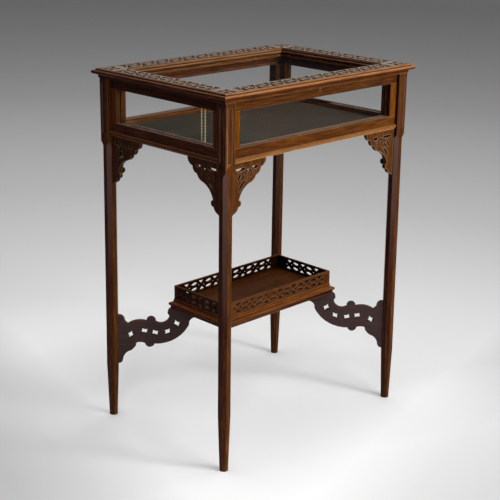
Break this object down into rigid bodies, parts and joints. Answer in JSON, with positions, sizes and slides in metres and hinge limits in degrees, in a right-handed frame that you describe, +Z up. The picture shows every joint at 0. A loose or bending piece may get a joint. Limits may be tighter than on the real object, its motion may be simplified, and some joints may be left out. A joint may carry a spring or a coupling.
{
  "type": "display table",
  "caption": "Glazed display table: a shallow case with a hinged glazed lid on octagonal legs, with pierced corner brackets and a galleried tray on scroll stretchers.",
  "frame": {"origin": "floor level, in the middle of the four feet", "axes": "+Z up, -Y towards the front with the keyhole, +X to the right seen from the front"},
  "size_m": [0.555, 0.397, 0.77],
  "materials": {
    "mahogany": "aged, french polished, grain showing",
    "glass": "clear, polished",
    "brass": "dulled",
    "bolt_steel": "brushed",
    "velvet": "short pile, worn"
  },
  "bodies": {
    "table": {"leg_front_left": "mahogany", "leg_front_right": "mahogany", "leg_back_right": "mahogany", "leg_back_left": "mahogany", "upper_rail_front": "mahogany", "upper_rail_right": "mahogany", "upper_rail_back": "mahogany", "upper_rail_left": "mahogany", "lower_rail_front": "mahogany", "lower_rail_right": "mahogany", "lower_rail_back": "mahogany", "lower_rail_left": "mahogany", "base_moulding": "mahogany", "glazing_stiles": "mahogany", "case_glazing_beads": "mahogany", "floor_board": "mahogany", "brackets_front_left": "mahogany", "brackets_front_right": "mahogany", "brackets_back_right": "mahogany", "brackets_back_left": "mahogany", "tray_board": "mahogany", "tray_edges": "mahogany", "tray_gallery_long": "mahogany", "tray_gallery_short": "mahogany", "stretcher_front_left": "mahogany", "stretcher_front_right": "mahogany", "stretcher_back_right": "mahogany", "stretcher_back_left": "mahogany", "glass_front": "glass", "glass_right": "glass", "glass_back": "glass", "glass_left": "glass", "hinge_case_leaves": "brass", "hinge_pins": "brass", "hinge_case_screws": "brass", "lock_case": "brass", "lock_screws": "brass", "escutcheon": "brass", "chain_eye_case": "brass", "velvet_lining": "velvet"},
    "lid": {"lid_rail_front": "mahogany", "lid_rail_right": "mahogany", "lid_rail_back": "mahogany", "lid_rail_left": "mahogany", "lid_glazing_beads": "mahogany", "lid_glass": "glass", "hinge_lid_leaves": "brass", "hinge_lid_screws": "brass", "strike_plate": "brass", "strike_screws": "brass", "chain_eye_lid": "brass"},
    "bolt": {"lock_bolt": "bolt_steel"},
    "chain_run_1": {"stay_chain_1": "brass"},
    "chain_run_2": {"stay_chain_2": "brass"},
    "chain_run_3": {"stay_chain_3": "brass"},
    "chain_run_4": {"stay_chain_4": "brass"}
  },
  "joints": [
    {"name": "lid_hinge", "type": "hinge", "parent": "table", "child": "lid", "pos_m": [0, 0.1902, 0.7512], "axis": [-1, 0, 0], "range_deg": [0, 100]},
    {"name": "bolt_slide", "type": "slide", "parent": "table", "child": "bolt", "axis": [0, 0, 1], "range_m": [0, 0.004]},
    {"name": "chain_case_eye", "type": "hinge", "parent": "table", "child": "chain_run_1", "pos_m": [-0.2318, -0.085, 0.745], "axis": [1, 0, 0], "range_deg": [0, 131.75]},
    {"name": "chain_bend_1", "type": "hinge", "parent": "chain_run_1", "child": "chain_run_2", "pos_m": [-0.2318, -0.085, 0.6552], "axis": [1, 0, 0], "range_deg": [-90, 0]},
    {"name": "chain_lid_eye", "type": "hinge", "parent": "lid", "child": "chain_run_4", "pos_m": [-0.2282, -0.091, 0.7454], "axis": [1, 0, 0], "range_deg": [0, 51.75]},
    {"name": "chain_bend_2", "type": "hinge", "parent": "chain_run_4", "child": "chain_run_3", "pos_m": [-0.2282, -0.091, 0.6552], "axis": [1, 0, 0], "range_deg": [-90, 0]}
  ],
  "couplings": [
    {"joint": "chain_case_eye", "follows": "lid_hinge", "ratio": 1.3175},
    {"joint": "chain_bend_1", "follows": "lid_hinge", "ratio": -0.9},
    {"joint": "chain_lid_eye", "follows": "lid_hinge", "ratio": 0.51753},
    {"joint": "chain_bend_2", "follows": "lid_hinge", "ratio": -0.9}
  ]
}
